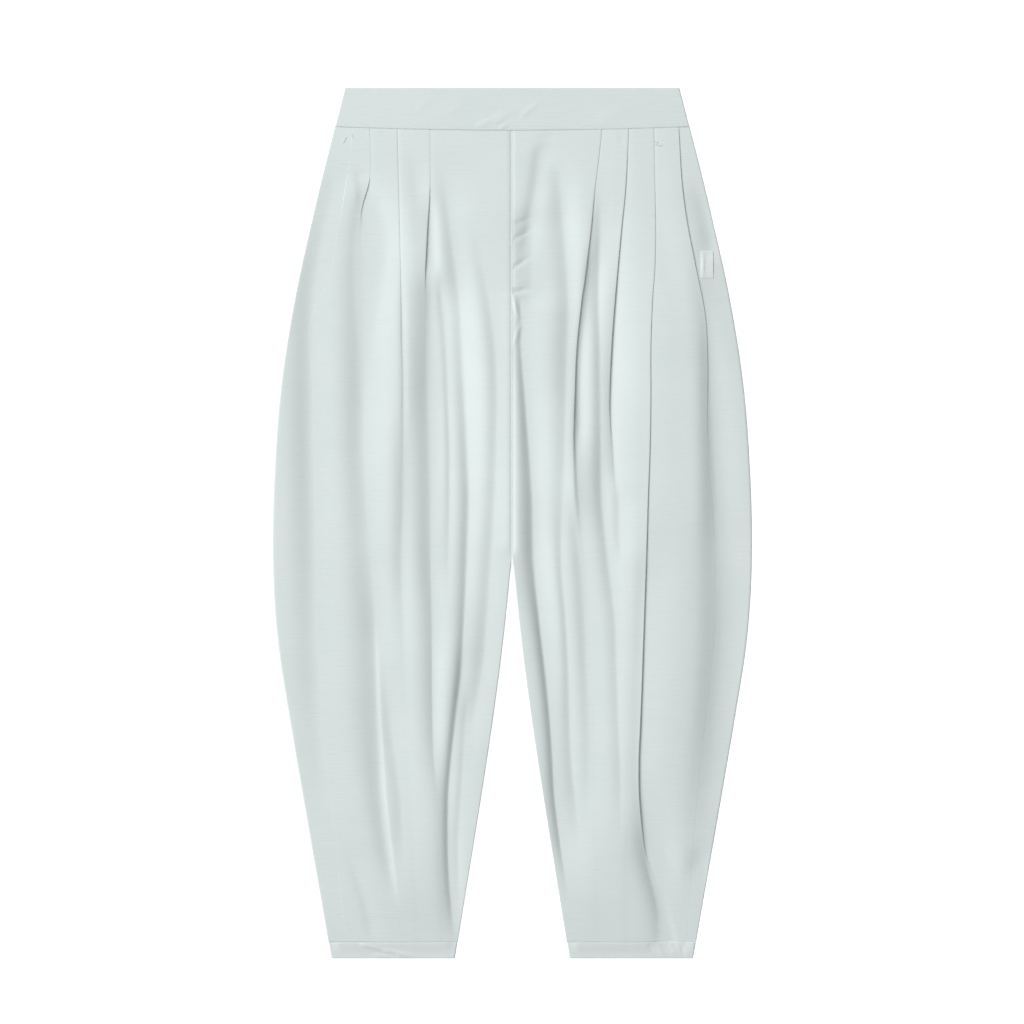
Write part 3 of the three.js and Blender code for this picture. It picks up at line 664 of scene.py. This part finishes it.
# A flattened ring between two ends: front ply, turn, back ply, turn. u runs once round it from 0 to 1. It
# gives the ring's middle line and the direction that faces outwards.
def flatRing(inner, outer, look, u):
    radius = (look["frontZ"] - look["backZ"]) / 2
    start, end = inner + radius, outer - radius
    plyShare, turnShare = 0.46, 0.04
    onFront, onBack = u < plyShare, (u >= 0.5) & (u < 0.5 + plyShare)
    farTurn = (u >= plyShare) & (u < 0.5)
    turned = np.where(farTurn, (u - plyShare) / turnShare, (u - 0.5 - plyShare) / turnShare)
    angle = math.pi * np.clip(turned, 0, 1)
    heading = np.where(farTurn, 1, -1)
    alongFront = start + (end - start) * (u / plyShare)
    alongBack = end - (end - start) * ((u - 0.5) / plyShare)
    atTurn = np.where(farTurn, end, start) + heading * radius * np.sin(angle)
    middle = (look["frontZ"] + look["backZ"]) / 2
    out = np.where(onFront, alongFront, np.where(onBack, alongBack, atTurn))
    z = np.where(onFront, look["frontZ"],
                 np.where(onBack, look["backZ"], middle + heading * radius * np.cos(angle)))
    normalOut = np.where(onFront | onBack, 0, heading * np.sin(angle))
    normalZ = np.where(onFront, 1, np.where(onBack, -1, heading * np.cos(angle)))
    return out, z, normalOut, normalZ


waistbandLook = {
    "thickness": 1.1,
    "closes": 0.18,  # the seam is pressed this much tighter than it is cut
    "frontZ": 2.3,
    "backZ": 0.6,
    "rows": 24,
    "ringPoints": 760,
    "wrinkles": [  # from (x, down) to (x, down), width and height as above
        ((-38, 39), (2, 24), 2.6, 0.28),
        ((-20, 36), (-4, 30), 1.6, 0.3),
        ((-14, 42), (-2, 36), 1.5, 0.3),
        ((10, 30), (34, 12), 2.4, 0.2),
        ((-104, 22), (-84, 10), 4, 0.15),
        ((-70, 26), (-50, 18), 3, 0.12),
        ((96, 34), (130, 20), 5, 0.12),
    ],
}


def makeWaistband():
    look = waistbandLook

    def place(u, down):
        half = outlineAt(down) - look["thickness"] / 2
        out, z, normalOut, normalZ = flatRing(-half, half, look, u)
        bump = wrinkleHeight(look["wrinkles"], out, np.broadcast_to(down, out.shape))
        return out, z + bump * (normalZ > 0.5), normalOut, normalZ

    return ringPiece("waistband", None, place, 0, cut["waistbandDepth"] + look["closes"], look)


hemLook = {
    "thickness": 1.1,
    "backZ": 0.6,
    "frontZ": 2.5,
    "rows": 12,
    "ringPoints": 420,
    "wrinkles": {
        "left": [((166, 941), (138, 949), 1.7, 0.7),
                 ((140, 948), (98, 955), 2.2, 0.6),
                 ((126, 952), (104, 957), 1.5, 0.4),
                 ((150, 953), (128, 957), 1.6, 0.4)],
        "right": [((160, 942), (168, 957), 2.6, 0.25),
                  ((174, 940), (180, 954), 2.2, 0.22),
                  ((150, 941), (156, 950), 2.4, -0.3),
                  ((186, 944), (190, 957), 2.0, -0.25),
                  ((132, 940), (140, 946), 1.8, 0.15),
                  ((98, 940), (106, 944), 1.6, 0.12)],
    },
}


def makeHem(side):
    look = hemLook
    top = length - cut["hemDepth"]
    panelOut, panelZ = frontSection(side, np.array([legEnd]))
    order = np.argsort(panelOut[0])
    panelOut, panelZ = panelOut[0][order], panelZ[0][order]

    def place(u, down):
        inner, outer = insideAt(down) + look["thickness"] / 2, outlineAt(down) - look["thickness"] / 2
        out, z, normalOut, normalZ = flatRing(inner, outer, look, u)
        downs = np.broadcast_to(down, out.shape)
        # the upper edge follows the panel above it
        share = ease(length - 4, top, downs) * ease(2, 12, out - inner) * ease(2, 12, outer - out)
        rise = (np.interp(out, panelOut, panelZ) + 0.1 - look["frontZ"]) * share
        bump = wrinkleHeight(look["wrinkles"][side], out, downs)
        return out, z + (rise + bump) * (normalZ > 0.5), normalOut, normalZ

    return ringPiece(f"hem.{side}", side, place, top, length, look)


# Label tab on the right side seam: a blank ribbon, stitched at both ends
labelLook = {
    "out": 214,
    "down": 195,
    "width": 14,
    "height": 30,
    "clear": 0.3,  # gap to the cloth below
    "thickness": 0.2,
    "curl": 0.35,
    "deepest": 0.5,  # it bridges hollows deeper than this
    "stitches": dict(first=-5.2, pitch=2.8, length=1.9, count=4, inset=2.2),  # at each end
}


def makeLabel():
    look = labelLook
    acrossShare, downShare = np.linspace(-0.5, 0.5, 29), np.linspace(-0.5, 0.5, 25)
    out = look["out"] + look["width"] * acrossShare[None] + 0 * downShare[:, None]
    down = look["down"] + look["height"] * downShare[:, None] + 0 * acrossShare[None]
    under = np.maximum(stripHeight("right", out, down),
                       stripHeight("right", np.full_like(out, look["out"]), down) - look["deepest"])
    bulge = 0.5 + np.exp(-((acrossShare[None] + 0.3) / 0.12) ** 2)
    curl = look["curl"] * np.cos(math.pi * downShare[:, None]) * bulge
    piece = gridMesh("labelTab", "right", out, under + look["clear"] + curl, down)
    thicken(piece, look["thickness"])
    return piece


# Stitches: a row above the waist seam, small tacks at the pocket mouths and the label's two ends
stitchLook = {
    "pitch": 3.2,
    "length": 2.3,
    "radius": 0.17,
    "tackRadius": 0.36,
    "aboveSeam": 3.6,
    "fromEnds": 4,
    "flatness": 0.7,
    "corners": 6,  # around the thread
    "profile": [(0, 0.25), (0.15, 0.85), (0.5, 1), (0.85, 0.85), (1, 0.25)],  # place along it and thickness
    "tacks": [  # (x, down) to (x, down)
        ((155.5, 59.0), (161.5, 61.6)),
        ((156.5, 62.2), (161.0, 63.8)),
        ((160.5, 65.0), (165.5, 63.4)),
        ((-175.6, 49.6), (-174.6, 56.4)),
        ((-181.4, 54.4), (-185.6, 62.0)),
    ],
}


# the point on top of the cloth at x and down
def onCloth(shapes, x, down):
    start, heading = Vector((x * mm, (length / 2 - down) * mm, 0.05)), Vector((0, 0, -1))
    hits = [shape.ray_cast(start, heading) for shape in shapes]
    return (x, length / 2 - down, max([place.z / mm for hit, place, normal, face in hits if hit], default=0))


# short rounded bars lying on the cloth, joined into one piece
def stitchBars(name, bars, radius):
    points, faces = [], []
    count, profile = stitchLook["corners"], stitchLook["profile"]
    for start, end in bars:
        axis = np.array(end) - np.array(start)
        run = np.linalg.norm(axis)
        axis = axis / run
        across = np.cross(axis, [0, 0, 1])
        across = across / np.linalg.norm(across)
        up = np.cross(across, axis)
        first = len(points)
        for t, size in profile:
            middle = np.array(start) + axis * run * t
            for k in range(count):
                angle = 2 * math.pi * k / count
                rim = across * math.cos(angle) + up * math.sin(angle) * stitchLook["flatness"]
                points.append(middle + rim * radius * size)
        last = first + (len(profile) - 1) * count
        for ring in range(first, last, count):
            for k in range(count):
                a, b = ring + k, ring + (k + 1) % count
                faces.append((a, b, b + count, a + count))
        faces.append(tuple(first + k for k in reversed(range(count))))
        faces.append(tuple(last + k for k in range(count)))
    return newPiece(name, points, faces)


def makeStitches(pieces):
    look, onLabel = stitchLook, labelLook["stitches"]
    graph = bpy.context.evaluated_depsgraph_get()
    shapes = [piece.evaluated_get(graph) for piece in pieces]
    row = cut["waistbandDepth"] - look["aboveSeam"]
    reach = outlineAt(row) - look["fromEnds"]
    bars = []
    for start in np.arange(-reach, reach - look["length"], look["pitch"]):
        ends = (start, start + look["length"])
        bars.append([onCloth(shapes, x, row + bandSag(x, row)) for x in ends])
    topstitch = stitchBars("waistTopstitch", bars, look["radius"])
    bars = [[onCloth(shapes, *end) for end in tack] for tack in look["tacks"]]
    tacks = stitchBars("pocketTacks", bars, look["tackRadius"])
    bars = []
    for end in (-1, 1):
        down = labelLook["down"] + end * (labelLook["height"] / 2 - onLabel["inset"])
        for k in range(onLabel["count"]):
            start = labelLook["out"] + onLabel["first"] + onLabel["pitch"] * k
            bars.append([onCloth(shapes, x, down) for x in (start, start + onLabel["length"])])
    return topstitch, tacks, stitchBars("labelStitches", bars, look["radius"])


# Finishes. Everything is woven from one pale mint-grey thread, slubbed along the width.
clothLook = {
    "plain": (0.690, 0.758, 0.750, 1),
    "shade": (0.640, 0.714, 0.707, 1),
    "roughness": 0.5,
    "specular": 0.35,
    "sheen": 0.3,
    "sheenRoughness": 0.45,
    "sheenTint": (0.93, 1, 0.99, 1),
    "bump": 0.5,
    "bumpDistance": 0.0004,
    "slubs": (34, 620),  # along and across the weft, per metre of cloth
    "grain": (260, 1500),
    "clouds": (9, 16),
    "threads": (330, 300),
}


def newMaterial(name):
    material = bpy.data.materials.new(name)
    material.use_nodes = True
    nodes = material.node_tree.nodes
    nodes.clear()
    output = nodes.new("ShaderNodeOutputMaterial")
    shader = nodes.new("ShaderNodeBsdfPrincipled")
    material.node_tree.links.new(shader.outputs[0], output.inputs[0])
    return material, shader


def clothMaterial(name, plain, shade):
    material, shader = newMaterial(name)
    nodes, links = material.node_tree.nodes, material.node_tree.links

    def node(kind, **values):
        made = nodes.new(kind)
        for key, value in values.items():
            setattr(made, key, value)
        return made

    flat = node("ShaderNodeUVMap", uv_map="weave")

    def noise(scaleX, scaleY, detail=2.0, roughness=0.5):
        stretch = node("ShaderNodeMapping")
        stretch.inputs["Scale"].default_value = (scaleX, scaleY, 1)
        links.new(flat.outputs[0], stretch.inputs[0])
        made = node("ShaderNodeTexNoise")
        made.inputs["Scale"].default_value = 1
        made.inputs["Detail"].default_value = detail
        made.inputs["Roughness"].default_value = roughness
        links.new(stretch.outputs[0], made.inputs["Vector"])
        return made.outputs[0]

    def maths(operation, a, b):
        made = node("ShaderNodeMath", operation=operation)
        for socket, value in zip(made.inputs, (a, b)):
            if isinstance(value, (int, float)):
                socket.default_value = value
            else:
                links.new(value, socket)
        return made.outputs[0]

    def ramp(value, low, high):
        made = node("ShaderNodeMapRange")
        made.inputs["From Min"].default_value = low
        made.inputs["From Max"].default_value = high
        links.new(value, made.inputs[0])
        return made.outputs[0]

    slub = noise(*clothLook["slubs"], 3, 0.62)  # thick places in the weft, 10 to 40 mm long
    slubs = ramp(slub, 0.5, 0.72)
    grain = noise(*clothLook["grain"], 1, 0.5)
    clouds = noise(*clothLook["clouds"], 3, 0.55)
    tone = maths("ADD", maths("MULTIPLY", clouds, 0.7), maths("MULTIPLY", slubs, -0.34))
    tone = maths("ADD", tone, maths("MULTIPLY", grain, 0.4))
    mix = node("ShaderNodeMix", data_type="RGBA")
    links.new(ramp(tone, 0.15, 0.85), mix.inputs[0])
    mix.inputs[6].default_value = shade
    mix.inputs[7].default_value = plain
    links.new(mix.outputs[2], shader.inputs["Base Color"])

    # threads under and over, then the slubs on top
    warp = node("ShaderNodeTexWave", wave_type="BANDS", bands_direction="X")
    weft = node("ShaderNodeTexWave", wave_type="BANDS", bands_direction="Y")
    for thread, size in zip((warp, weft), clothLook["threads"]):
        thread.inputs["Scale"].default_value = size
        thread.inputs["Distortion"].default_value = 0.4
        links.new(flat.outputs[0], thread.inputs["Vector"])
    threads = maths("ADD", warp.outputs[1], weft.outputs[1])
    relief = maths("ADD", maths("MULTIPLY", threads, 0.12), maths("MULTIPLY", slub, 0.9))
    bump = node("ShaderNodeBump")
    bump.inputs["Strength"].default_value = clothLook["bump"]
    bump.inputs["Distance"].default_value = clothLook["bumpDistance"]
    links.new(relief, bump.inputs["Height"])
    links.new(bump.outputs[0], shader.inputs["Normal"])

    rough = maths("ADD", maths("MULTIPLY", slubs, 0.1), clothLook["roughness"])
    links.new(rough, shader.inputs["Roughness"])
    shader.inputs["Specular IOR Level"].default_value = clothLook["specular"]
    shader.inputs["Sheen Weight"].default_value = clothLook["sheen"]
    shader.inputs["Sheen Roughness"].default_value = clothLook["sheenRoughness"]
    shader.inputs["Sheen Tint"].default_value = clothLook["sheenTint"]
    return material


cloth = clothMaterial("slubbed mint cloth", clothLook["plain"], clothLook["shade"])
ribbon = clothMaterial("blank ribbon", (0.76, 0.82, 0.81, 1), (0.72, 0.78, 0.77, 1))
thread = clothMaterial("sewing thread", (0.64, 0.71, 0.70, 1), (0.60, 0.67, 0.66, 1))
# the tack thread is darker than the sewing thread as painted shade: it stands for the shading round the small
# bar tacks
tackThreadWithPaintedShade = clothMaterial("tack thread with painted shade", (0.47, 0.53, 0.52, 1), (0.41, 0.47, 0.46, 1))


def finishPiece(piece, material):
    piece.data.materials.append(material)
    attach(piece, "root")


print("front panels")
fronts = {side: makeFront(side) for side in sides}
print("back panels")
backs = {side: makeBack(side) for side in sides}
print("waistband, hems and label")
waistband = makeWaistband()
hems = {side: makeHem(side) for side in sides}
labelTab = makeLabel()

print("stitches")
topstitch, tacks, labelStitches = makeStitches([*fronts.values(), *backs.values(), waistband, labelTab])
finishPiece(topstitch, thread)
# the tacks get the darker thread, which is painted shade
finishPiece(tacks, tackThreadWithPaintedShade)
finishPiece(labelStitches, thread)

for side in sides:
    finishPiece(fronts[side], cloth)
    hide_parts(f"front_{side}")
    finishPiece(backs[side], cloth)
    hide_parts(f"back_{side}")
    finishPiece(hems[side], cloth)
    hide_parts(f"hem_front_{side}", f"hem_back_{side}")
finishPiece(waistband, cloth)
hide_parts("waistband_front", "waistband_back")
finishPiece(labelTab, ribbon)
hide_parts("side_label")

# Floor, light and camera
stage = {
    "floorSize": 14,
    "floorShade": 0.96,
    "floorGlow": 0.72,  # keeps the floor white round the cloth
    "aim": (0, 0.012, 0),
    "frameWidth": 1.126,  # metres of floor across the picture
    "lens": 100,
    "sensor": 36,
    "world": 0.385,
    "key": dict(place=(-9.1, 4.8, 5.1), size=5.8, power=1895),
}


def floorMaterial():
    material, shader = newMaterial("pale floor")
    shader.inputs["Base Color"].default_value = (*[stage["floorShade"]] * 3, 1)
    shader.inputs["Roughness"].default_value = 0.9
    shader.inputs["Specular IOR Level"].default_value = 0.1
    shader.inputs["Emission Color"].default_value = (1, 1, 1, 1)
    shader.inputs["Emission Strength"].default_value = stage["floorGlow"]
    return material


mesh = bpy.data.meshes.new("floor")
half = stage["floorSize"] / 2
mesh.from_pydata([(-half, -half, 0), (half, -half, 0), (half, half, 0), (-half, half, 0)], [], [(0, 1, 2, 3)])
floor = bpy.data.objects.new("floor", mesh)
bpy.context.scene.collection.objects.link(floor)
floor.location.z = -0.0002  # just clear of the cloth
mesh.materials.append(floorMaterial())

world = bpy.data.worlds.new("studio")
bpy.context.scene.world = world
world.use_nodes = True
world.node_tree.nodes["Background"].inputs[0].default_value = (1, 1, 1, 1)
world.node_tree.nodes["Background"].inputs[1].default_value = stage["world"]

lamp = bpy.data.lights.new("softbox", "AREA")
lamp.shape = "SQUARE"
lamp.size = stage["key"]["size"]
lamp.energy = stage["key"]["power"]
softbox = bpy.data.objects.new("softbox", lamp)
softbox.location = stage["key"]["place"]
softbox.rotation_euler = (Vector((0, 0, 0)) - softbox.location).to_track_quat("-Z", "Y").to_euler()
bpy.context.scene.collection.objects.link(softbox)

lens = bpy.data.cameras.new("camera")
lens.lens = stage["lens"]
lens.sensor_width = stage["sensor"]
camera = bpy.data.objects.new("camera", lens)
height = stage["frameWidth"] * stage["lens"] / stage["sensor"]
camera.location = Vector(stage["aim"]) + Vector((0, 0, height))
bpy.context.scene.collection.objects.link(camera)
bpy.context.scene.camera = camera
bpy.context.scene.view_settings.view_transform = "Standard"
print("floor, light and camera")
